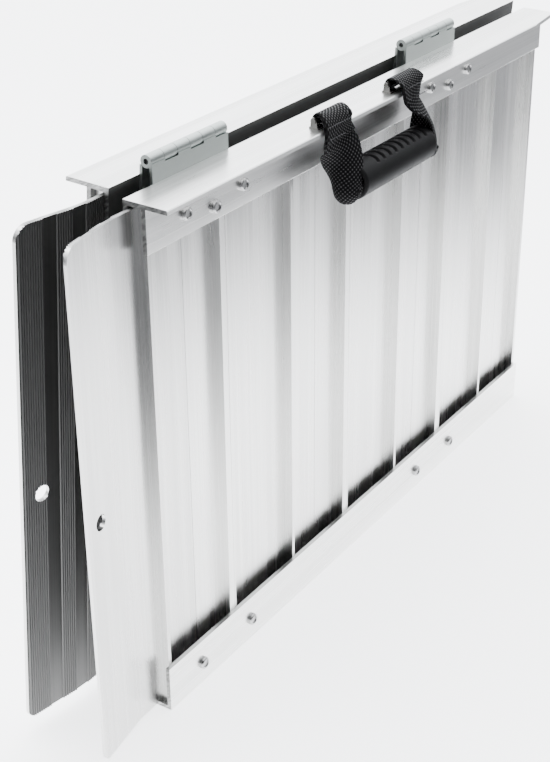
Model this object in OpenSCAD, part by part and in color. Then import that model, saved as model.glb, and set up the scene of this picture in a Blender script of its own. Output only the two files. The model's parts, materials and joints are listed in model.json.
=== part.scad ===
// Folding access ramp: two ribbed aluminium panels joined by butt hinges, standing
// folded on the front panel's side rail, with a webbing carrying handle.
// The origin is the middle of the front side rail's underside. +X runs along the hinge
// line away from the lips, -Y is the handle side and +Z is up.

/* [Panels] */
// Length of the rails
rail_len = 543; // [542:1:590]
// Height of a panel, from the hinge-side flange to the side rail's underside
panel_h = 365; // [355:1:400]
// Distance that the lip stands out past the rails
lip_len = 67; // [62:1:80]
// Angle that the lip is bent outward by
lip_angle = 9.1; // [4:0.1:12]
// Angle that the rear panel hangs open by at rest
splay = 4.75; // [2:0.25:8]

/* [Planks] */
// Distance from one plank seam to the next
plank_pitch = 154.3; // [153:0.1:156]
// Place of the first seam, from the rails' lip end
first_seam = 45.2; // [44:0.1:46]
// Thickness of the plate under the ridges
plate_t = 2.4; // [2:0.1:3]
// Height of the grip ridges on the drive surface
ridge_h = 0.8; // [0.4:0.1:1]
// Distance from one ridge to the next
ridge_pitch = 1.8; // [1.6:0.1:2]
// Width of a plank's narrow rib
narrow_rib_w = 3; // [2:0.1:5]
// Width of a plank's wide rib
wide_rib_w = 7.8; // [7:0.1:9]

/* [Rails] */
// Depth of the rail channel, outside to outside
rail_d = 16.3; // [16:0.1:20]
// Wall thickness of the rails
wall = 3; // [2.5:0.1:3]
// Width of the hinge-side flange
flange_w = 32; // [30:1:40]
// Height of the channel's webs
web_h = 32; // [32:1:38]
// Drop of the flange's outer edge below its inner edge
flange_droop = 1; // [0:0.1:2]

/* [Hinges] */
// Length of a hinge
hinge_len = 78; // [76:1:84]
// Thickness of a hinge leaf
leaf_t = 2; // [1.6:0.1:2.2]
// Outer radius of the hinge barrel
barrel_r = 4.1; // [3.8:0.1:4.2]
// Radius of the hinge pin
pin_r = 1.75; // [1.5:0.05:2]
// Distance between neighbouring bolts of a hinge
bolt_pitch = 30; // [28:1:32]

/* [Handle] */
// Width of the webbing
strap_w = 32; // [28:1:32]
// Thickness of one layer of webbing
strap_t = 1.6; // [1.2:0.1:1.8]
// Radius of the moulded grip
grip_r = 13; // [12:0.5:14]
// Length of the moulded grip
grip_len = 100; // [90:1:102]
// Distance between the two loop brackets
loop_pitch = 96; // [95:0.5:100]

/* [Hidden] */
$fn = 48;
fit = 0.05;              // radial clearance of shafts and bolts in their bores
gap = 0.15;              // half of the open seam between two planks
rail_back = rail_d - wall;
crest_u = wall + 0.2;    // depth of the ridge crests, clear of the inner web
deck_u = crest_u + ridge_h;
plate_u = deck_u + plate_t;
rib_u = rail_back - 0.1;
plank_top = -wall - 2.3;
plank_bottom = -panel_h + wall;
tongue = 2.8;            // reach of the lap joint under the next plank
tongue_u = deck_u + 1.1;
group_pitch = 25;        // ridges come in groups, alternately of seven and ten
lip_bend = -20;          // middle of the lip's bend, from the rails' lip end
bend_r = 6;              // half of the length that the bend takes
anchor_hole_r = 5.5;
anchor_from_tip = 15;
anchor_v = -187.5;
seams = [for (i = [0:3]) first_seam + i * plank_pitch];
wide_rib_at = 30.9;
narrow_rib_at = 112.7;
hinge_x = [67.8, 376];
axis_gap = 4.5;          // from each panel's inner face to the hinge axis
front_rise = 13.2;       // from the front flange up to the hinge axis
rear_rise = 8.9;
leaf_h = 41.2;
slot_below = 2.6;        // from the hinge axis down to a leaf's edge between its knuckles
knuckles = 6;
knuckle_len = hinge_len / knuckles;
bolt_r = 2.5;
head_r = 4.6;
nut_h = 2.8;
nut_r = 4.35;
bolt_recess = 0.8;       // from a nut's end face down to its bolt's end
outer_bolt_drop = 30.7;  // below the hinge axis
middle_bolt_drop = 36;
side_bolt_v = -panel_h + 16;
handle_x = 235.3;        // middle of the two loop bars, from the rails' lip end
pivot_u = 24;            // depth of the loop bars
pivot_rise = 5.6;        // from the flange up to the loop bars
pivot_v = pivot_rise - flange_droop * pivot_u / flange_w;
flange_tilt = atan(flange_droop / flange_w);
loop_pin_r = 1.5;
loop_inner = strap_w + 1.6;
ear_t = 1.2;
loop_base_t = 1.2;
loop_base_d = 7;
rivet_r = 2;
rivet_x = [-10, 10];
grip_out = 13.5;         // from the loop bars out to the grip's axis
grip_drop = 46.8;        // from the loop bars down to the grip's axis
grip_shift = 9.5;        // from the handle's middle along the rails to the grip's middle
slot_drop = 51.8;
slot_size = [18, 4.6];
hinge_axis = [0, rail_d / 2 + axis_gap, panel_h + front_rise];

// Webbing stations from a loop bar to the grip's slot: distance from the handle's
// middle, shift along the rails, distance out, distance down, twist, width, thickness.
top_x = loop_pitch / 2;
strap_stations = [
    [top_x, 0, 0, -1.2, 0, strap_w, 2 * strap_t],
    [top_x + 0.4, 0, 4.6, -1.2, 0, strap_w, 2 * strap_t],
    [top_x + 2, 0, 8.6, 1.4, 0, strap_w, 2 * strap_t],
    [top_x + 3.8, 1, 10.1, 7, 0, strap_w, 2 * strap_t],
    [top_x + 6.2, 4, 10.6, 15, 6, strap_w, 2 * strap_t],
    [top_x + 10.2, 9.5, 11.4, 22, 23, strap_w, strap_t],
    [top_x + 13.2, 11, 12.5, 30, 47, strap_w - 2, strap_t],
    [top_x + 15.5, 10.5, 13.4, 38, 75, strap_w - 6, strap_t],
    [top_x + 16.2, grip_shift, grip_out, 46, 90, strap_w - 10, strap_t],
    [top_x + 14.7, grip_shift, grip_out, 54, 90, strap_w - 12, strap_t],
    [top_x + 10.2, grip_shift, grip_out, 58.3, 90, strap_w - 13, 1.5 * strap_t],
    [top_x + 6.7, grip_shift, grip_out, 56, 90, strap_w / 2, 1.5 * strap_t],
    [top_x + 3.4, grip_shift, grip_out, slot_drop, 90, strap_w / 2, 2 * strap_t],
];

// ---- Places -------------------------------------------------------------------
// A panel is drawn with x along the rails from their lip end, y as depth outward from
// the rails' inner face, and z up from the top of the hinge-side flange.

module front() {
    translate([-rail_len / 2, rail_d / 2, panel_h]) mirror([0, 1, 0]) children();
}

module rear() {
    translate(hinge_axis) rotate([splay, 0, 0])
        translate([-rail_len / 2, axis_gap, -rear_rise]) children();
}

// Draws its children with +Z pointing outward through the panel.
module through(x, v, u = 0) {
    translate([x, u, v]) rotate([-90, 0, 0]) children();
}

function bolt_places(rise) = [for (c = hinge_x, i = [-1:1])
    [c + i * bolt_pitch, rise - (i == 0 ? middle_bolt_drop : outer_bolt_drop)]];

side_bolt_places = [for (c = hinge_x, i = [-1, 1]) [c + i * bolt_pitch, side_bolt_v]];

module bolt_holes(rise) {
    for (p = concat(bolt_places(rise), side_bolt_places))
        through(p[0], p[1], -1) cylinder(r = bolt_r + 0.25, h = rail_d + 2);
}

// ---- Rails --------------------------------------------------------------------
module extrude_rail(profile) {
    rotate([90, 0, 90]) linear_extrude(rail_len) polygon(profile);
}

module centre_rail(rise) {
    taper_len = 45;
    taper_w = 5;
    tip = flange_droop * rail_d / flange_w;
    difference() {
        extrude_rail([
            [0, 0], [flange_w - 0.6, -flange_droop], [flange_w, -flange_droop - 0.6],
            [flange_w, -flange_droop - wall], [rail_d, -wall - tip], [rail_d, -web_h + 0.6],
            [rail_d - 0.6, -web_h], [rail_back, -web_h], [rail_back, -24.6],
            [rail_back + 0.6, -24], [rail_back, -23.4], [rail_back, -wall - tip],
            [wall, -wall - tip], [wall, -web_h], [0, -web_h],
        ]);
        translate([0, 0, -flange_droop - wall - 1]) linear_extrude(wall + flange_droop + 2)
            polygon([[rail_len - taper_len, flange_w], [rail_len + 1, flange_w - taper_w],
                     [rail_len + 1, flange_w + 1], [rail_len - taper_len, flange_w + 1]]);
        bolt_holes(rise);
    }
}

module side_rail(rise) {
    difference() {
        extrude_rail([
            [0, -panel_h], [rail_d, -panel_h], [rail_d, -panel_h + web_h + 2],
            [rail_back, -panel_h + web_h + 2], [rail_back, -panel_h + wall],
            [wall, -panel_h + wall], [wall, -panel_h + web_h + 2],
            [0, -panel_h + web_h + 2],
        ]);
        bolt_holes(rise);
        for (p = side_bolt_places) through(p[0], p[1]) countersink();
    }
}

// ---- Planks -------------------------------------------------------------------
// How far the bent lip stands outward of the flat deck at x.
function lift(x) =
    x > lip_bend + bend_r ? 0 :
    x > lip_bend - bend_r ? pow(lip_bend + bend_r - x, 2) / (4 * bend_r) * tan(lip_angle) :
    (lip_bend - x) * tan(lip_angle);

function ridge_centres(seam, x0, x1) = [
    for (k = [-3:3]) let (n = k % 2 == 0 ? 7 : 10)
    for (j = [0:n - 1])
        let (x = seam + plank_pitch / 2 + k * group_pitch + (j - (n - 1) / 2) * ridge_pitch)
        if (x > x0 + ridge_pitch && x < x1 - ridge_pitch) x];

function deck_side(seam, x0, x1) = [
    for (x = ridge_centres(seam, x0, x1), p = [[-0.45, 0], [-0.2, 1], [0.2, 1], [0.45, 0]])
        [x + p[0] * ridge_pitch, deck_u - p[1] * ridge_h]];

function rib(x, w, grooved) = concat(
    [[x + w, plate_u], [x + w, rib_u]],
    grooved ? [[x + 6.4, rib_u], [x + 6.1, rib_u - 0.7], [x + 5.8, rib_u]] : [],
    [[x, rib_u], [x, plate_u]]);

// The ribs between x0 and x1, from right to left.
function rib_side(seam, x0, x1) = concat(
    seam + narrow_rib_at > x0 && seam + narrow_rib_at < x1
        ? rib(seam + narrow_rib_at, narrow_rib_w, false) : [],
    seam + wide_rib_at > x0 && seam + wide_rib_at < x1 - 1
        ? let (w = min(wide_rib_w, x1 - seam - wide_rib_at - 0.5))
          rib(seam + wide_rib_at, w, w == wide_rib_w) : []);

function left_edge(x, lapped) = lapped
    ? [[x + gap, plate_u], [x + gap, tongue_u + 0.2], [x + tongue + 0.4, tongue_u + 0.2],
       [x + tongue + 0.4, deck_u]]
    : [[x, plate_u], [x, deck_u]];

function right_edge(x, lapped) = lapped
    ? [[x + tongue, deck_u], [x + tongue, tongue_u], [x - gap, tongue_u], [x - gap, plate_u]]
    : [[x, deck_u], [x, plate_u]];

// A stretch of the plank extrusion whose own left seam is at the given place.
module plank(seam, x0, x1, rise, lap_left = true, lap_right = true) {
    bend_points = x0 < lip_bend - bend_r
        ? [for (i = [0:6]) [lip_bend + bend_r - i * bend_r / 3, plate_u]] : [];
    outline = concat(
        left_edge(x0, lap_left), deck_side(seam, x0 + (lap_left ? tongue : 0), x1),
        right_edge(x1, lap_right), rib_side(seam, x0, x1), bend_points);
    difference() {
        translate([0, 0, plank_bottom])
            linear_extrude(plank_top - plank_bottom)
                polygon([for (p = outline) [p[0], p[1] + lift(p[0])]]);
        for (p = concat(bolt_places(rise), side_bolt_places))
            if (p[0] > x0 && p[0] < x1)
                through(p[0], p[1], -1) cylinder(r = bolt_r + 0.25, h = rail_d + 2);
    }
}

// The lip plank has its two tip corners rounded and an anchor hole square to the lip.
module lip_plank(rise) {
    top_r = 9.5;
    bottom_r = 6;
    tip = -lip_len;
    hole_x = tip + anchor_from_tip;
    difference() {
        plank(seams[0] - plank_pitch, tip, seams[0], rise, lap_left = false);
        corner_cut(tip, plank_top, top_r, -1);
        corner_cut(tip, plank_bottom, bottom_r, 1);
        translate([hole_x, plate_u + lift(hole_x), anchor_v])
            rotate([-90, 0, -lip_angle]) cylinder(r = anchor_hole_r, h = 20, center = true);
    }
}

module corner_cut(x, v, r, up) {
    translate([x, -1, v]) rotate([-90, 0, 0]) linear_extrude(rail_d + 10) difference() {
        translate([-1, up < 0 ? -1 : -r]) square([r + 1, r + 1]);
        translate([r, up < 0 ? r : -r]) circle(r);
    }
}

// ---- Hinges -------------------------------------------------------------------
module countersink() {
    translate([0, 0, -0.01]) cylinder(r1 = head_r + fit, r2 = bolt_r + fit, h = leaf_t + 0.02);
}

// A hinge leaf on a panel's inner face; parity picks its knuckles.
module leaf(centre, rise, parity) {
    left = centre - hinge_len / 2;
    difference() {
        union() {
            difference() {
                translate([left, -leaf_t, rise - leaf_h])
                    cube([hinge_len, leaf_t, leaf_h - slot_below]);
                along_axis(left, rise, hinge_len, barrel_r + 0.3, 1);
            }
            for (i = [parity:2:knuckles - 1]) {
                knuckle = left + i * knuckle_len + 0.15;
                translate([knuckle, -leaf_t, rise - barrel_r - 1])
                    cube([knuckle_len - 0.3, leaf_t, barrel_r]);
                along_axis(knuckle, rise, knuckle_len - 0.3, barrel_r);
            }
        }
        along_axis(left, rise, hinge_len, pin_r + fit, 1);
        for (p = bolt_places(rise)) if (abs(p[0] - centre) < hinge_len / 2) {
            through(p[0], p[1], -leaf_t - 1) cylinder(r = bolt_r + fit, h = leaf_t + 2);
            through(p[0], p[1], -leaf_t) countersink();
        }
    }
}

// A cylinder along the hinge axis, longer at both ends by the given excess.
module along_axis(x, rise, length, r, excess = 0) {
    translate([x - excess, -axis_gap, rise]) rotate([0, 90, 0])
        cylinder(r = r, h = length + 2 * excess);
}

module hinge_pin(centre) {
    recess = 1.5;
    translate([centre - rail_len / 2 - hinge_len / 2 + recess, 0, 0])
        translate(hinge_axis) rotate([0, 90, 0]) cylinder(r = pin_r, h = hinge_len - 2 * recess);
}

// ---- Bolts and nuts -------------------------------------------------------------
// Countersunk bolt whose head is flush at depth u.
module bolt(x, v, u) {
    through(x, v, u) {
        difference() {
            cylinder(r1 = head_r, r2 = bolt_r, h = leaf_t);
            translate([0, 0, -0.1]) cylinder(r = 1.7, h = 1.3, $fn = 6);
        }
        translate([0, 0, leaf_t])
            cylinder(r = bolt_r, h = rail_d + nut_h - bolt_recess - u - leaf_t);
    }
}

// Round nut on the outer web, with a rounded rim.
module nut(x, v) {
    bore = bolt_r + fit;
    through(x, v, rail_d) rotate_extrude() polygon([
        [bore, 0], [nut_r, 0], [nut_r, nut_h - 1.2], [nut_r - 0.3, nut_h - 0.5],
        [nut_r - 0.9, nut_h], [bore + 0.4, nut_h], [bore, nut_h - 0.4]]);
}

// ---- Handle ---------------------------------------------------------------------
// Draws its children on the front flange, centred under a loop bar, +Y outward.
module on_flange(side) {
    front() translate([handle_x + side * loop_pitch / 2, pivot_u, pivot_v])
        rotate([-flange_tilt, 0, 0]) translate([0, 0, -pivot_rise]) children();
}

// Bent bracket with a flat base and an upright ear at each end of the webbing.
module loop_bracket(side) {
    length = loop_inner + 2 * ear_t;
    on_flange(side) difference() {
        union() {
            translate([-length / 2, -loop_base_d / 2, 0])
                cube([length, loop_base_d, loop_base_t]);
            for (end = [-1, 1])
                translate([end * (loop_inner + ear_t) / 2, 0, 0]) rotate([90, 0, 90])
                    translate([0, 0, -ear_t / 2]) linear_extrude(ear_t) ear_outline();
        }
        translate([0, 0, pivot_rise]) rotate([0, 90, 0])
            cylinder(r = loop_pin_r + fit, h = length + 2, center = true);
        for (x = rivet_x) translate([x, 0, -1]) cylinder(r = rivet_r + fit, h = loop_base_t + 2);
    }
}

module ear_outline() {
    top_r = 2.3;
    half = loop_base_d / 2 - 0.8;
    polygon([[-half, 0], [half, 0], [top_r * 0.95, pivot_rise + 0.9],
             [-top_r * 0.95, pivot_rise + 0.9]]);
    translate([0, pivot_rise]) circle(top_r);
}

// The loop bar, headed over outside both ears.
module loop_pin(side) {
    length = loop_inner + 2 * ear_t + 0.2;
    on_flange(side) translate([-length / 2, 0, pivot_rise]) rotate([0, 90, 0]) {
        cylinder(r = loop_pin_r, h = length);
        for (x = [-1, length]) translate([0, 0, x]) cylinder(r = 1.9, h = 1);
    }
}

module loop_rivet(side, x) {
    tail = 1.2;
    on_flange(side) translate([x, 0, 0]) {
        translate([0, 0, -wall - tail]) cylinder(r = rivet_r, h = wall + tail + loop_base_t);
        translate([0, 0, loop_base_t]) cylinder(r1 = 3.2, r2 = 2.4, h = 0.8);
        translate([0, 0, -wall - tail - 0.05]) cylinder(r = 3, h = tail);
    }
}

// Handle frame: x from the handle's middle, -Y outward and z up, both from the loop bars.
module at_handle() {
    translate([handle_x - rail_len / 2, rail_d / 2 - pivot_u, panel_h + pivot_v]) children();
}

function unit(v) = v / norm(v);

// A station as [point, width direction, width, thickness] on one side of the handle.
function section(s, side) = [
    [side * s[0] + s[1], -s[2], -s[3]], [-side * cos(s[4]), -sin(s[4]), 0], s[5], s[6]];

function ring(before, here, after) =
    let (along = unit(after[0] - before[0]), across = here[1], out = unit(cross(along, across)))
    [for (c = [[1, 1], [-1, 1], [-1, -1], [1, -1]])
        here[0] + c[0] * across * here[2] / 2 + c[1] * out * here[3] / 2];

// Both broad faces are split along the same diagonal, so that they stay parallel.
module ribbon(sections) {
    last = len(sections) - 1;
    rings = [for (i = [0:last])
        ring(sections[max(i - 1, 0)], sections[i], sections[min(i + 1, last)])];
    sides = [for (i = [0:last - 1], j = [0:3])
        let (a = 4 * i + j, b = 4 * i + (j + 1) % 4, c = b + 4, d = a + 4)
        each j == 2 ? [[d, b, a], [d, c, b]] : [[c, b, a], [d, c, a]]];
    polyhedron([for (r = rings, p = r) p],
               concat(sides, [[0, 1, 2, 3], [for (j = [3:-1:0]) 4 * last + j]]));
}

// The stations with two more in each stretch, so that the twist goes in small steps.
function finer(s) = concat(
    [for (i = [0:len(s) - 2], t = [0, 1 / 3, 2 / 3]) s[i] * (1 - t) + s[i + 1] * t],
    [s[len(s) - 1]]);

module strap() {
    stations = finer(strap_stations);
    n = len(stations) - 1;
    eye_r = loop_pin_r + 0.1 + strap_t;
    difference() {
        union() {
            ribbon(concat([for (s = stations) section(s, -1)],
                          [for (i = [n:-1:0]) section(stations[i], 1)]));
            for (side = [-1, 1]) translate([side * top_x, 0, 0])
                rotate([0, 90, 0]) cylinder(r = eye_r, h = strap_w, center = true);
        }
        for (side = [-1, 1]) translate([side * top_x, 0, 0]) rotate([0, 90, 0])
            cylinder(r = loop_pin_r + 0.1, h = strap_w + 2, center = true);
    }
}

module grip() {
    edge = 3;
    half = grip_len / 2;
    difference() {
        translate([grip_shift, -grip_out, -grip_drop]) rotate([0, 90, 0]) rotate_extrude()
            polygon([[0, -half], [grip_r - edge, -half], [grip_r - 0.9, -half + 0.9],
                     [grip_r, -half + edge], [grip_r, half - edge], [grip_r - 0.9, half - 0.9],
                     [grip_r - edge, half], [0, half]]);
        translate([grip_shift, -grip_out, -slot_drop])
            cube([grip_len + 2, slot_size[0], slot_size[1]], center = true);
    }
}

// ---- Nodes ----------------------------------------------------------------------
module front_centre_rail() {
    color("gainsboro") difference() {
        front() centre_rail(front_rise);
        for (side = [-1, 1], x = rivet_x) on_flange(side)
            translate([x, 0, -wall - 3]) cylinder(r = rivet_r + fit, h = wall + 6);
    }
}
module front_side_rail() { color("gainsboro") front() side_rail(front_rise); }
module front_lip_plank() { color("silver") front() lip_plank(front_rise); }
module front_plank_a() { color("silver") front() plank(seams[0], seams[0], seams[1], front_rise); }
module front_plank_b() { color("silver") front() plank(seams[1], seams[1], seams[2], front_rise); }
module front_plank_c() { color("silver") front() plank(seams[2], seams[2], seams[3], front_rise); }
module front_end_plank() {
    color("silver") front() plank(seams[3], seams[3], rail_len, front_rise, lap_right = false);
}
module front_leaf_left() { color("lightsteelblue") front() leaf(hinge_x[0], front_rise, 0); }
module front_leaf_right() { color("lightsteelblue") front() leaf(hinge_x[1], front_rise, 0); }
module front_hinge_bolts() {
    color("gray") front() for (p = bolt_places(front_rise)) bolt(p[0], p[1], -leaf_t);
}
module front_hinge_nuts() {
    color("gray") front() for (p = bolt_places(front_rise)) nut(p[0], p[1]);
}
module front_side_bolts() { color("gray") front() for (p = side_bolt_places) bolt(p[0], p[1], 0); }
module front_side_nuts() { color("gray") front() for (p = side_bolt_places) nut(p[0], p[1]); }

module rear_centre_rail() { color("gainsboro") rear() centre_rail(rear_rise); }
module rear_side_rail() { color("gainsboro") rear() side_rail(rear_rise); }
module rear_lip_plank() { color("silver") rear() lip_plank(rear_rise); }
module rear_plank_a() { color("silver") rear() plank(seams[0], seams[0], seams[1], rear_rise); }
module rear_plank_b() { color("silver") rear() plank(seams[1], seams[1], seams[2], rear_rise); }
module rear_plank_c() { color("silver") rear() plank(seams[2], seams[2], seams[3], rear_rise); }
module rear_end_plank() {
    color("silver") rear() plank(seams[3], seams[3], rail_len, rear_rise, lap_right = false);
}
module rear_leaf_left() { color("lightsteelblue") rear() leaf(hinge_x[0], rear_rise, 1); }
module rear_leaf_right() { color("lightsteelblue") rear() leaf(hinge_x[1], rear_rise, 1); }
module rear_hinge_bolts() {
    color("gray") rear() for (p = bolt_places(rear_rise)) bolt(p[0], p[1], -leaf_t);
}
module rear_hinge_nuts() {
    color("gray") rear() for (p = bolt_places(rear_rise)) nut(p[0], p[1]);
}
module rear_side_bolts() { color("gray") rear() for (p = side_bolt_places) bolt(p[0], p[1], 0); }
module rear_side_nuts() { color("gray") rear() for (p = side_bolt_places) nut(p[0], p[1]); }

module hinge_pin_left() { color("dimgray") hinge_pin(hinge_x[0]); }
module hinge_pin_right() { color("dimgray") hinge_pin(hinge_x[1]); }
module loop_bracket_left() { color("lightgray") loop_bracket(-1); }
module loop_bracket_right() { color("lightgray") loop_bracket(1); }
module loop_pins() { color("lightgray") for (side = [-1, 1]) loop_pin(side); }
module loop_rivets() {
    color("lightgray") for (side = [-1, 1], x = rivet_x) loop_rivet(side, x);
}
module handle_strap() { color([0.05, 0.05, 0.05]) at_handle() strap(); }
module handle_grip() { color([0.2, 0.2, 0.2]) at_handle() grip(); }

front_centre_rail();
front_side_rail();
front_lip_plank();
front_plank_a();
front_plank_b();
front_plank_c();
front_end_plank();
front_leaf_left();
front_leaf_right();
front_hinge_bolts();
front_hinge_nuts();
front_side_bolts();
front_side_nuts();
rear_centre_rail();
rear_side_rail();
rear_lip_plank();
rear_plank_a();
rear_plank_b();
rear_plank_c();
rear_end_plank();
rear_leaf_left();
rear_leaf_right();
rear_hinge_bolts();
rear_hinge_nuts();
rear_side_bolts();
rear_side_nuts();
hinge_pin_left();
hinge_pin_right();
loop_bracket_left();
loop_bracket_right();
loop_pins();
loop_rivets();
handle_strap();
handle_grip();
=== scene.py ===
"""Studio scene of a folded access ramp: two aluminium panels, two hinges and a webbing handle.

The CAD nodes keep their shape and get their materials here. The webbing and the moulded
grip are replaced by detailed meshes. Lengths are in metres unless a name says otherwise.
"""

import json
import math

import bmesh
import bpy
import numpy as np
from mathutils import Matrix, Vector


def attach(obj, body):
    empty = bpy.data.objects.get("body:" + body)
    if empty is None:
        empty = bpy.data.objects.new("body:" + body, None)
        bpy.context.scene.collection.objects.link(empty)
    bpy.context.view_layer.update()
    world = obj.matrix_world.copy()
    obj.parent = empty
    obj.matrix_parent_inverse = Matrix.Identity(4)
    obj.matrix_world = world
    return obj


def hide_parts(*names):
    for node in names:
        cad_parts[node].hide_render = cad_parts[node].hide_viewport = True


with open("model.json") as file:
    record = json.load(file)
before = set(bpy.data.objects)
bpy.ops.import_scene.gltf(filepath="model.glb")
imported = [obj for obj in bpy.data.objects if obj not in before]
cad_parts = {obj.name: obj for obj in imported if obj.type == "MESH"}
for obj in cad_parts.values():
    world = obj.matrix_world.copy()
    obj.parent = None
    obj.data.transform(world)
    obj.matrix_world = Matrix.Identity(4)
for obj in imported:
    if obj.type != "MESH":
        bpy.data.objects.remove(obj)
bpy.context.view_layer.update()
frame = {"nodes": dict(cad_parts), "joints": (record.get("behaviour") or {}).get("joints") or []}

MM = 0.001
NODES = frame["nodes"]
JOINTS = {j["name"]: j for j in frame["joints"]}
PIVOT = Vector(JOINTS["handle_swing"]["pos_m"])
SPLAY = -math.radians(JOINTS["fold"]["range_deg"][0])

# ---- Camera and studio ---------------------------------------------------------------
CAMERA_AT = (-0.8998, -0.5113, 0.6640)
LOOK_AT = (-0.1147, 0.0082, 0.1791)
CAMERA_ROLL_DEG = -0.63
LENS_MM = 70.6
FLOOR_HALF_SIZE = 14
# Painted light and shade on the floor: it glows by FLOOR_GLOW, and in front and to the left its
# colour and glow fade to a painted grey shade that the metal reflects.
FLOOR_GLOW = 3.3
FLOOR_PAINTED_SHADE, FLOOR_LIT = (0.16, 0.16, 0.165), (0.86, 0.865, 0.875)
PAINTED_SHADE_AHEAD = (-0.80, -0.17)     # of y - 0.444 x, along the near edge of the lit floor
PAINTED_SHADE_LEFT = (-0.85, -0.36)      # of x + 0.64 y, along its left edge
BRIGHT_TOWARDS = (0.50, 0.62, 0.60)


def place_camera():
    camera = bpy.data.objects.new("camera", bpy.data.cameras.new("camera"))
    camera.data.lens = LENS_MM
    camera.data.sensor_width = 36
    camera.data.clip_end = 50
    aim = (Vector(LOOK_AT) - Vector(CAMERA_AT)).to_track_quat("-Z", "Y").to_matrix().to_4x4()
    roll = Matrix.Rotation(math.radians(CAMERA_ROLL_DEG), 4, "Z")
    camera.matrix_world = Matrix.Translation(CAMERA_AT) @ aim @ roll
    bpy.context.scene.collection.objects.link(camera)
    bpy.context.scene.camera = camera


def area_light(name, at, towards, size, watts):
    light = bpy.data.lights.new(name, "AREA")
    light.shape = "RECTANGLE"
    light.size, light.size_y = size
    light.energy = watts
    obj = bpy.data.objects.new(name, light)
    obj.location = at
    obj.rotation_euler = (Vector(towards) - Vector(at)).to_track_quat("-Z", "Y").to_euler()
    bpy.context.scene.collection.objects.link(obj)


def light_studio():
    """A white studio whose light comes from above and behind, with a dim side to the left."""
    world = bpy.data.worlds.new("studio")
    world.use_nodes = True
    tree = world.node_tree
    direction = tree.nodes.new("ShaderNodeTexCoord").outputs["Generated"]
    slope = tree.nodes.new("ShaderNodeVectorMath")
    slope.operation = "DOT_PRODUCT"
    tree.links.new(direction, slope.inputs[0])
    slope.inputs[1].default_value = BRIGHT_TOWARDS
    ramp = tree.nodes.new("ShaderNodeMapRange")
    ramp.interpolation_type = "SMOOTHSTEP"
    tree.links.new(slope.outputs["Value"], ramp.inputs["Value"])
    for name, value in (("From Min", -0.10), ("From Max", 0.95),
                        ("To Min", 0.13), ("To Max", 5.5)):
        ramp.inputs[name].default_value = value
    background = tree.nodes["Background"]
    background.inputs["Color"].default_value = (0.95, 0.97, 1.0, 1)
    tree.links.new(ramp.outputs["Result"], background.inputs["Strength"])
    bpy.context.scene.world = world
    area_light("overhead", (-0.2, 0.5, 1.9), (0, 0.1, 0), (2.0, 1.6), 40)


def lay_floor():
    """A pale floor that glows a little as painted light and fades softly to a painted grey shade
    in front and to the left.
    """
    corners = [(x * FLOOR_HALF_SIZE, y * FLOOR_HALF_SIZE, 0)
               for x, y in ((-1, -1), (1, -1), (1, 1), (-1, 1))]
    mesh = bpy.data.meshes.new("floor")
    mesh.from_pydata(corners, [], [(0, 1, 2, 3)])
    floor = bpy.data.objects.new("floor", mesh)
    bpy.context.scene.collection.objects.link(floor)
    nodes = Nodes("studio_floor")
    place = nodes.add("ShaderNodeSeparateXYZ", Vector=nodes.place()).outputs
    ahead = nodes.maths("ADD", place["Y"], nodes.maths("MULTIPLY", place["X"], -0.444))
    left = nodes.maths("ADD", place["X"], nodes.maths("MULTIPLY", place["Y"], 0.64))
    # Painted shade: the floor's colour and glow fade to grey in front and to the left.
    lit = nodes.maths("MULTIPLY", nodes.ramp(ahead, 0, 1, *PAINTED_SHADE_AHEAD, smooth=True),
                      nodes.ramp(left, 0, 1, *PAINTED_SHADE_LEFT, smooth=True))
    color = nodes.blend(lit, FLOOR_PAINTED_SHADE, FLOOR_LIT)
    nodes.shader(color=color, roughness=0.6, metallic=0, specular=0.2)
    nodes.bsdf.inputs["Emission Color"].default_value = (0.95, 0.96, 0.98, 1)
    nodes.put(nodes.bsdf.inputs["Emission Strength"],
              nodes.maths("MULTIPLY", lit, FLOOR_GLOW))
    floor.data.materials.append(nodes.material)


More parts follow.
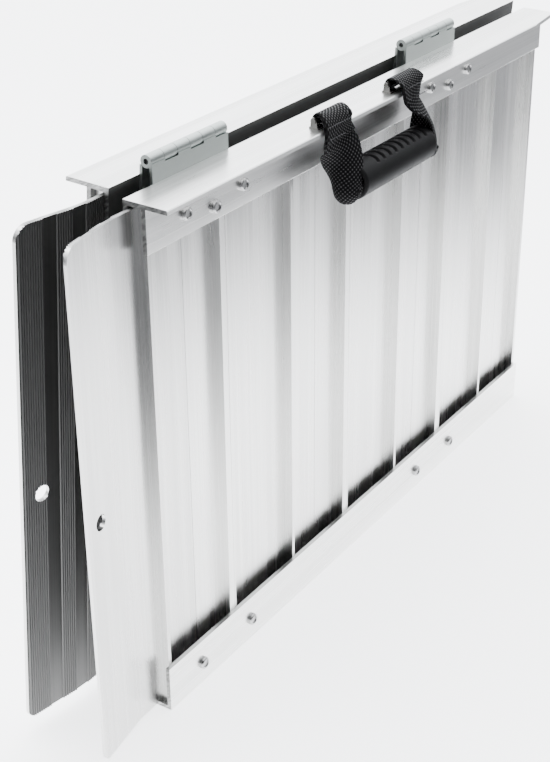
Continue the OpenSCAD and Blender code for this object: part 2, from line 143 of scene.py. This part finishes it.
# ---- Materials -------------------------------------------------------------------------
class Nodes:
    """A material's node tree, with one short method for each kind of node used here."""

    def __init__(self, name):
        self.material = bpy.data.materials.new(name)
        self.material.use_nodes = True
        self.tree = self.material.node_tree
        self.bsdf = self.tree.nodes["Principled BSDF"]

    def add(self, kind, **inputs):
        node = self.tree.nodes.new(kind)
        for name, value in inputs.items():
            self.put(node.inputs[name.replace("_", " ")], value)
        return node

    def put(self, socket, value):
        if isinstance(value, bpy.types.NodeSocket):
            self.tree.links.new(value, socket)
        elif isinstance(value, (tuple, list)) and len(value) == 3 and socket.type == "RGBA":
            socket.default_value = (*value, 1)
        else:
            socket.default_value = value

    def shader(self, color=None, roughness=None, metallic=None, specular=None, normal=None):
        for name, value in (("Base Color", color), ("Roughness", roughness),
                            ("Metallic", metallic), ("Specular IOR Level", specular),
                            ("Normal", normal)):
            if value is not None:
                self.put(self.bsdf.inputs[name], value)

    def place(self, stretch=(1, 1, 1), turn_x=0.0):
        """Object coordinates, turned about X and then scaled per axis."""
        vector = self.add("ShaderNodeTexCoord").outputs["Object"]
        if turn_x:
            vector = self.add("ShaderNodeMapping", Vector=vector,
                              Rotation=(turn_x, 0, 0)).outputs["Vector"]
        return self.add("ShaderNodeMapping", Vector=vector, Scale=stretch).outputs["Vector"]

    def noise(self, vector, scale=1.0, detail=2.0, roughness=0.5):
        return self.add("ShaderNodeTexNoise", Vector=vector, Scale=scale, Detail=detail,
                        Roughness=roughness).outputs["Fac"]

    def ramp(self, value, low, high, start=0.3, end=0.7, smooth=False):
        """Maps value from start..end to low..high, where both are numbers."""
        node = self.add("ShaderNodeMapRange", Value=value)
        if smooth:
            node.interpolation_type = "SMOOTHSTEP"
        for name, v in (("From Min", start), ("From Max", end), ("To Min", low), ("To Max", high)):
            node.inputs[name].default_value = v
        return node.outputs["Result"]

    def maths(self, operation, a, b=0.0):
        node = self.tree.nodes.new("ShaderNodeMath")
        node.operation = operation
        self.put(node.inputs[0], a)
        self.put(node.inputs[1], b)
        return node.outputs["Value"]

    def blend(self, factor, a, b):
        node = self.tree.nodes.new("ShaderNodeMix")
        node.data_type = "RGBA"
        self.put(node.inputs["Factor"], factor)
        self.put(node.inputs[6], a)
        self.put(node.inputs[7], b)
        return node.outputs[2]

    def bump(self, height, distance, strength=1.0, normal=None):
        node = self.add("ShaderNodeBump", Height=height, Distance=distance, Strength=strength)
        if normal is not None:
            self.put(node.inputs["Normal"], normal)
        return node.outputs["Normal"]


def facing(nodes, direction, turn_x, start, end):
    """0 to 1 as a face turns towards the direction, in the panel's own upright frame."""
    own = nodes.add("ShaderNodeVectorTransform",
                    Vector=nodes.add("ShaderNodeNewGeometry").outputs["True Normal"])
    own.vector_type, own.convert_from, own.convert_to = "NORMAL", "WORLD", "OBJECT"
    normal = own.outputs["Vector"]
    if turn_x:
        normal = nodes.add("ShaderNodeMapping", Vector=normal,
                           Rotation=(turn_x, 0, 0)).outputs["Vector"]
    dot = nodes.tree.nodes.new("ShaderNodeVectorMath")
    dot.operation = "DOT_PRODUCT"
    nodes.put(dot.inputs[0], normal)
    nodes.put(dot.inputs[1], direction)
    return nodes.ramp(dot.outputs["Value"], 0, 1, start, end)


def grey(nodes, value):
    return nodes.add("ShaderNodeCombineColor", Red=value, Green=value,
                     Blue=nodes.maths("MULTIPLY", value, 0.985)).outputs["Color"]


def extruded_aluminium(name, along, tone, inward_shade_tone, roughness, inward, turn_x=0.0):
    """Mill-finish extrusion with die lines along one axis, sawn ends, and painted shade on the
    inward-facing walking side, which is also rougher.
    """
    nodes = Nodes(name)
    fine = tuple(6 if i == along else 1400 for i in range(3))
    broad = tuple(1.2 if i == along else 95 for i in range(3))
    soft = tuple(5 if i == along else 14 for i in range(3))
    streaks = nodes.noise(nodes.place(fine, turn_x), detail=2)
    bands = nodes.noise(nodes.place(broad, turn_x), detail=3, roughness=0.6)
    stains = nodes.noise(nodes.place(soft, turn_x), detail=4, roughness=0.6)
    shade = nodes.maths("ADD", nodes.ramp(streaks, -0.05, 0.05),
                        nodes.maths("ADD", nodes.ramp(bands, -0.08, 0.08),
                                    nodes.ramp(stains, -0.05, 0.05)))
    color = grey(nodes, nodes.maths("ADD", shade, tone))
    rough = nodes.maths("ADD", nodes.ramp(bands, -0.05, 0.06),
                        nodes.ramp(stains, roughness - 0.05, roughness + 0.05))
    # Painted shade: faces turned inward, between the two panels, take a darker colour, scaled by
    # the inward tone; they are also rougher.
    drive_side_shade = facing(nodes, (0, inward, 0), turn_x, 0.1, 0.2)
    painted_inward_shade = grey(nodes, nodes.maths("MULTIPLY", nodes.maths("ADD", shade, tone), inward_shade_tone))
    color = nodes.blend(drive_side_shade, color, painted_inward_shade)
    rough = nodes.maths("ADD", rough, nodes.maths("MULTIPLY", drive_side_shade, 0.3))
    ends = tuple(float(i == along) for i in range(3))
    back = tuple(-v for v in ends)
    sawn = nodes.maths("MAXIMUM", facing(nodes, ends, turn_x, 0.85, 0.95),
                       facing(nodes, back, turn_x, 0.85, 0.95))
    saw = nodes.noise(nodes.place((30, 60, 260), turn_x + 0.6), scale=3, detail=2)
    color = nodes.blend(sawn, color, grey(nodes, nodes.ramp(saw, 0.22, 0.42, 0.40, 0.60)))
    rough = nodes.maths("ADD", rough, nodes.maths("MULTIPLY", sawn, 0.18))
    normal = nodes.bump(streaks, 0.00002, 0.35)
    normal = nodes.bump(nodes.maths("MULTIPLY", saw, sawn), 0.0001, 0.5, normal)
    nodes.shader(color, rough, 1.0, 0.5, normal)
    return nodes.material


def plated_steel(name, color, roughness, spangle=0.05):
    nodes = Nodes(name)
    patches = nodes.noise(nodes.place((130, 130, 130)), detail=4, roughness=0.65)
    grain = nodes.noise(nodes.place((1800, 1800, 1800)), detail=1)
    dark = tuple(c * (1 - spangle * 2) for c in color)
    nodes.shader(nodes.blend(nodes.ramp(patches, 0, 1), dark, color),
                 nodes.ramp(patches, roughness - 0.06, roughness + 0.08), 1.0, 0.5,
                 nodes.bump(grain, 0.00002, 0.4))
    return nodes.material


def webbing_material():
    nodes = Nodes("black_webbing")
    fuzz = nodes.noise(nodes.place((2600, 2600, 2600)), detail=2)
    patches = nodes.noise(nodes.place((120, 120, 120)), detail=3)
    crown = nodes.tree.nodes.new("ShaderNodeAttribute")
    crown.attribute_name = "crown"
    height = crown.outputs["Fac"]
    base = nodes.blend(nodes.ramp(patches, 0, 1), (0.0025, 0.0025, 0.003), (0.004, 0.004, 0.0045))
    # Painted highlight: the yarn crowns are lifted to grey in colour to stand for their sheen.
    color = nodes.blend(nodes.ramp(height, 0, 1, 0.68, 1.0), base, (0.07, 0.07, 0.072))
    nodes.shader(color, nodes.ramp(height, 0.85, 0.5, 0.3, 1.0), 0.0,
                 nodes.ramp(height, 0.05, 0.4, 0.3, 1.0), nodes.bump(fuzz, 0.0001, 0.5))
    return nodes.material


def thread_material():
    nodes = Nodes("sewing_thread")
    twist = nodes.noise(nodes.place((2400, 2400, 900)), detail=2)
    nodes.shader(nodes.blend(nodes.ramp(twist, 0, 1), (0.02, 0.02, 0.022), (0.07, 0.07, 0.075)),
                 nodes.ramp(twist, 0.5, 0.7), 0.0, 0.4, nodes.bump(twist, 0.0001, 0.6))
    return nodes.material


def grip_material():
    nodes = Nodes("moulded_grip")
    mottle = nodes.noise(nodes.place((70, 70, 70)), detail=4)
    grain = nodes.noise(nodes.place((1500, 1500, 1500)), detail=2)
    nodes.shader(nodes.blend(nodes.ramp(mottle, 0, 1), (0.008, 0.008, 0.0085),
                             (0.012, 0.012, 0.0125)),
                 nodes.ramp(mottle, 0.45, 0.55), 0.0, 0.05, nodes.bump(grain, 0.00005, 0.5))
    return nodes.material


def set_material(obj, material):
    obj.data.materials.clear()
    obj.data.materials.append(material)


def finish_metal():
    for panel, inward, turn in (("front", 1, 0.0), ("rear", -1, -SPLAY)):
        planks = extruded_aluminium(panel + "_plank_metal", 2, 0.72, 0.20, 0.27, inward,
                                    turn)
        for part in ("plank_a", "plank_b", "plank_c", "end_plank"):
            set_material(NODES[f"{panel}_{part}"], planks)
        for part, along, tone, inward_shade_tone, roughness in (
                ("lip_plank", 2, 0.63, 0.22, 0.27), ("centre_rail", 0, 0.80, 0.22, 0.30),
                ("side_rail", 0, 0.80, 0.55, 0.30)):
            metal = extruded_aluminium(f"{panel}_{part}_metal", along, tone, inward_shade_tone,
                                       roughness, inward, turn)
            set_material(NODES[f"{panel}_{part}"], metal)
    zinc = plated_steel("zinc_plate", (0.42, 0.455, 0.44), 0.36)
    bolt = plated_steel("bolt_plate", (0.35, 0.35, 0.35), 0.30)
    nut = plated_steel("nut_plate", (0.42, 0.42, 0.42), 0.28)
    pin = plated_steel("pin_metal", (0.08, 0.08, 0.08), 0.45)
    nickel = plated_steel("nickel_plate", (0.28, 0.275, 0.265), 0.20)
    for name, node in NODES.items():
        if "_leaf_" in name:
            set_material(node, zinc)
        elif name.endswith("_bolts"):
            set_material(node, bolt)
        elif name.endswith("_nuts"):
            set_material(node, nut)
        elif name.startswith("hinge_pin"):
            set_material(node, pin)
        elif name.startswith("loop_"):
            set_material(node, nickel)


# ---- Webbing ------------------------------------------------------------------------
# Stations from a loop bar to the inside of the grip: distance from the handle's middle,
# share of the grip's shift along the rails, distance out, distance down, twist in degrees
# and the curvature that cups the width towards the grip.
STRAP_W = 31.0
STRAP_T = 1.5
BAR_WRAP_R = (2.35, 3.1)
BAR_WRAP_MIDDLE = (0.1, 0.5)
TOP_X = 48.0
SHIFT = 9.5
STRAP_STATIONS = (
    (TOP_X, 0.0, 0.5, -3.1, 0, 0.0),
    (TOP_X + 0.8, 0.0, 4.6, -2.2, 0, 0.0),
    (TOP_X + 2.3, 0.0, 8.1, 1.5, 0, 0.0),
    (TOP_X + 3.9, 0.1, 9.6, 7.0, 0, 0.0),
    (TOP_X + 6.0, 0.45, 10.2, 15.0, 14, 0.004),
    (TOP_X + 8.6, 0.9, 11.0, 22.0, 32, 0.015),
    (TOP_X + 10.6, 1.1, 12.2, 30.0, 50, 0.040),
    (TOP_X + 12.6, 1.1, 13.3, 38.0, 67, 0.075),
    (TOP_X + 13.9, 1.0, 13.5, 46.0, 83, 0.095),
    (TOP_X + 13.6, 0.95, 13.5, 53.8, 90, 0.100),
    (TOP_X + 10.8, 1.0, 13.5, 59.3, 90, 0.102),
    (TOP_X + 6.2, 1.0, 13.5, 59.4, 90, 0.105),
    (TOP_X + 1.2, 1.0, 13.5, 56.6, 90, 0.112),
    (TOP_X - 8.0, 1.0, 13.5, 55.6, 90, 0.115),
)
TAIL_END_DROP = 13.8
TAIL_FADE = 6.0                 # drop over which the two layers come together below it
LAYERS_APART = STRAP_T * 0.52   # from the route to the middle of either layer
WRAP_TURN_DEG = (80, 290)
WRAP_EXIT_OUT = 5.5             # distance out at which the wrap rejoins the route
SMOOTH_PASSES = 24
TWIST_LAG = {-1: 1.2, 1: 0.85}  # power on the twist, as the two ends hang differently
STITCH_DROPS = (3.5, 11.5)
STITCHES = 9
STITCH_SIDES = 8
STITCH_PROFILE = ((-1.2, 0.05), (-0.9, 0.32), (0.9, 0.32), (1.2, 0.05))  # along, radius
WEAVE_PITCH = 1.45
WEAVE_HEIGHT = 0.16
STEP_ALONG = 0.32
POINTS_ACROSS = 110


def catmull_rom(knots, samples_per_span):
    """Points and values along a smooth curve through the rows of knots."""
    rows = np.vstack([2 * knots[0] - knots[1], knots, 2 * knots[-1] - knots[-2]])
    out = []
    for i in range(1, len(rows) - 2):
        p0, p1, p2, p3 = rows[i - 1:i + 3]
        for t in np.linspace(0, 1, samples_per_span, endpoint=False):
            out.append(0.5 * (2 * p1 + (p2 - p0) * t + (2 * p0 - 5 * p1 + 4 * p2 - p3) * t ** 2
                              + (3 * p1 - p0 - 3 * p2 + p3) * t ** 3))
    out.append(knots[-1])
    return np.array(out)


def even_steps(rows, step):
    """Resamples rows so that their first three columns advance by equal steps."""
    gaps = np.linalg.norm(np.diff(rows[:, :3], axis=0), axis=1)
    distance = np.concatenate([[0], np.cumsum(gaps)])
    wanted = np.linspace(0, distance[-1], max(2, int(distance[-1] / step)))
    return np.column_stack([np.interp(wanted, distance, column) for column in rows.T])


def strap_route(side):
    """Rows of x, y, z, twist and cup for one end of the webbing, from its sewn tail,
    round the loop bar and down into the grip, in millimetres from the loop bars."""
    run = catmull_rom(np.array(STRAP_STATIONS, float), 24)
    run = np.column_stack([side * run[:, 0] + SHIFT * run[:, 1], -run[:, 2], -run[:, 3],
                           90 * (np.clip(run[:, 4], 0, 90) / 90) ** TWIST_LAG[side],
                           run[:, 5]])
    tangent = np.gradient(run[:, :3], axis=0)
    tangent /= np.linalg.norm(tangent, axis=1)[:, None]
    outward = np.column_stack([np.zeros(len(run)), tangent[:, 2], -tangent[:, 1]])
    outward /= np.maximum(np.linalg.norm(outward, axis=1), 1e-6)[:, None]
    drop = -run[:, 2]
    last = np.flatnonzero(drop < TAIL_END_DROP)[-1]
    tail = run[:last + 1].copy()
    tail[:, :3] += outward[:last + 1] * LAYERS_APART
    fade = np.clip((drop - TAIL_END_DROP) / TAIL_FADE, 0, 1)[:, None]
    run[:, :3] -= outward * LAYERS_APART * (1 - fade)
    turn = np.radians(np.linspace(*WRAP_TURN_DEG, 60))
    wrap = np.zeros((len(turn), 5))
    wrap[:, 0] = side * TOP_X
    wrap[:, 1] = BAR_WRAP_MIDDLE[0] - BAR_WRAP_R[0] * np.cos(turn)
    wrap[:, 2] = BAR_WRAP_MIDDLE[1] + BAR_WRAP_R[1] * np.sin(turn)
    run = run[np.flatnonzero(run[:, 1] < -WRAP_EXIT_OUT)[0]:]
    return even_steps(np.vstack([tail[::-1], wrap, run]), STEP_ALONG)


def smooth(rows, passes):
    for _ in range(passes):
        rows[1:-1] = (rows[:-2] + 2 * rows[1:-1] + rows[2:]) / 4
    return rows


def ribbon_mesh(name, route, side):
    """Closed woven ribbon along the route, with real yarn relief on both faces."""
    points = smooth(route[:, :3].copy(), SMOOTH_PASSES)
    along = np.gradient(points, axis=0)
    along /= np.linalg.norm(along, axis=1)[:, None]
    twist = np.radians(route[:, 3])
    across = np.column_stack([-side * np.cos(twist), -np.sin(twist), np.zeros(len(points))])
    across -= along * np.sum(across * along, axis=1)[:, None]
    across /= np.linalg.norm(across, axis=1)[:, None]
    face = np.cross(along, across) * side
    travelled = np.arange(len(points)) * STEP_ALONG
    v = np.linspace(-STRAP_W / 2, STRAP_W / 2, POINTS_ACROSS)
    edge = np.clip((STRAP_W / 2 - np.abs(v)) / (STRAP_T * 0.7), 0, 1)
    half = STRAP_T / 2 * np.sqrt(1 - (1 - edge) ** 2)
    curl = np.maximum(route[:, 4], 1e-5)[:, None]
    lean = v[None] * curl
    flat_x = np.sin(lean) / curl
    flat_y = (1 - np.cos(lean)) / curl
    wave = np.cos(math.pi * travelled[:, None] / WEAVE_PITCH) * np.cos(
        math.pi * v[None] / WEAVE_PITCH)
    centre = (points[:, None] + across[:, None] * flat_x[..., None]
              + face[:, None] * flat_y[..., None])
    normal = face[:, None] * np.cos(lean)[..., None] - across[:, None] * np.sin(lean)[..., None]
    relief = WEAVE_HEIGHT * wave * edge[None]
    upper = centre + normal * (half[None] + relief)[..., None]
    lower = centre - normal * (half[None] - relief)[..., None]
    ring = np.concatenate([upper, lower[:, -2:0:-1]], axis=1)
    crown = np.concatenate([wave, -wave[:, -2:0:-1]], axis=1) * 0.5 + 0.5
    return tube_object(name, ring * MM, crown)


def tube_object(name, rings, values=None):
    """Closed mesh through the rings, with a cap on each end."""
    count, around = rings.shape[:2]
    faces = [(i * around + j, i * around + (j + 1) % around,
              (i + 1) * around + (j + 1) % around, (i + 1) * around + j)
             for i in range(count - 1) for j in range(around)]
    faces.append(tuple(range(around - 1, -1, -1)))
    faces.append(tuple((count - 1) * around + j for j in range(around)))
    mesh = bpy.data.meshes.new(name)
    mesh.from_pydata((rings.reshape(-1, 3) + np.array(PIVOT)).tolist(), [], faces)
    if values is not None:
        crown = mesh.attributes.new("crown", "FLOAT", "POINT")
        crown.data.foreach_set("value", values.reshape(-1).astype(np.float32))
    mesh.shade_smooth()
    obj = bpy.data.objects.new(name, mesh)
    bpy.context.scene.collection.objects.link(obj)
    face_outward(obj)
    return obj


def face_outward(obj):
    work = bmesh.new()
    work.from_mesh(obj.data)
    bmesh.ops.recalc_face_normals(work, faces=work.faces)
    work.to_mesh(obj.data)
    work.free()


def stitch_mesh(name, route):
    """Rows of short stitches across the sewn tail, on its outer face."""
    outer = route[:np.argmin(np.abs(route[:, 1] - route[:, 1].max()))]
    vertices, faces = [], []
    for level in STITCH_DROPS:
        row = outer[np.argmin(np.abs(-outer[:, 2] - level))]
        for i in range(STITCHES):
            x = (i - (STITCHES - 1) / 2) * STRAP_W * 0.9 / STITCHES
            middle = row[:3] + np.array([x, -STRAP_T / 2 - WEAVE_HEIGHT, 0.0])
            start = len(vertices)
            for end, r in STITCH_PROFILE:
                for k in range(STITCH_SIDES):
                    a = k * 2 * math.pi / STITCH_SIDES
                    vertices.append((middle + [end, -r * math.cos(a), r * math.sin(a)]) * MM
                                    + np.array(PIVOT))
            for j in range(len(STITCH_PROFILE) - 1):
                for k in range(STITCH_SIDES):
                    a = start + j * STITCH_SIDES + k
                    b = start + j * STITCH_SIDES + (k + 1) % STITCH_SIDES
                    faces.append((a, b, b + STITCH_SIDES, a + STITCH_SIDES))
    mesh = bpy.data.meshes.new(name)
    mesh.from_pydata([tuple(v) for v in vertices], [], faces)
    mesh.shade_smooth()
    obj = bpy.data.objects.new(name, mesh)
    bpy.context.scene.collection.objects.link(obj)
    face_outward(obj)
    return obj


def make_straps():
    material, thread = webbing_material(), thread_material()
    for side, name in ((-1, "left_strap"), (1, "right_strap")):
        route = strap_route(side)
        stitches = stitch_mesh(name + "_stitches", route)
        set_material(stitches, thread)
        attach(stitches, "handle")
        strap = ribbon_mesh(name, route, side)
        set_material(strap, material)
        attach(strap, "handle")
        if side < 0:
            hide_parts("handle_strap")


# ---- Grip -----------------------------------------------------------------------------
GRIP_OUT, GRIP_DROP = 13.5, 46.8
GRIP_LEN, GRIP_R = 100.0, 13.0
GRIP_BORE_R = 9.9
BORE_DEPTH = 18.0
RIM_R = 2.2
GROOVES = 9
GROOVE_PITCH = 8.4
GROOVE_DEPTH = 2.2
GROOVE_HALF_WIDTH = 1.8
GROOVE_MIDDLE = (6.0, math.radians(14))
GROOVE_SPREAD = math.radians(34)
GROOVE_SLANT = -3.5
GROOVE_BOW = 8.0


def groove_depth(x, angle):
    """Depth of the finger grooves at x along the grip and angle from its top."""
    turn = angle - GROOVE_MIDDLE[1]
    fade = np.clip((GROOVE_SPREAD - np.abs(turn)) / math.radians(12), 0, 1)
    fade = fade * fade * (3 - 2 * fade)
    depth = np.zeros(np.broadcast(x, angle).shape)
    for i in range(GROOVES):
        centre = (GROOVE_MIDDLE[0] + (i - (GROOVES - 1) / 2) * GROOVE_PITCH
                  - GROOVE_SLANT * turn - GROOVE_BOW * turn ** 2)
        d = np.abs(x - centre) / GROOVE_HALF_WIDTH
        depth = np.maximum(depth, GROOVE_DEPTH * np.clip(1 - d ** 2, 0, 1) ** 0.8)
    return depth * fade


def make_grip():
    around = 240
    angle = np.linspace(-math.pi, math.pi, around, endpoint=False)
    half = GRIP_LEN / 2
    corner = np.linspace(0, math.pi / 2, 7)
    rim = [(half - RIM_R + RIM_R * math.sin(a), GRIP_R - RIM_R + RIM_R * math.cos(a))
           for a in corner]
    rim += [(half, GRIP_BORE_R + 0.6), (half - 0.6, GRIP_BORE_R), (half - BORE_DEPTH, GRIP_BORE_R),
            (half - BORE_DEPTH, 0.4)]
    body = [(x, GRIP_R) for x in np.linspace(-half + RIM_R + 0.4, half - RIM_R - 0.4, 360)]
    profile = [(-x, r) for x, r in reversed(rim)] + body + rim
    rings = []
    for x, r in profile:
        radius = np.full(around, float(r))
        if abs(x) < half - RIM_R and r > GRIP_BORE_R + 1:
            radius = radius - groove_depth(x, angle)
        rings.append(np.column_stack([np.full(around, SHIFT + x),
                                      -GRIP_OUT - radius * np.sin(angle),
                                      -GRIP_DROP + radius * np.cos(angle)]))
    grip = tube_object("moulded_grip", np.array(rings) * MM)
    set_material(grip, grip_material())
    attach(grip, "handle")
    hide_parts("handle_grip")


# ---- Build ------------------------------------------------------------------------------
place_camera()
light_studio()
lay_floor()
finish_metal()
make_straps()
make_grip()
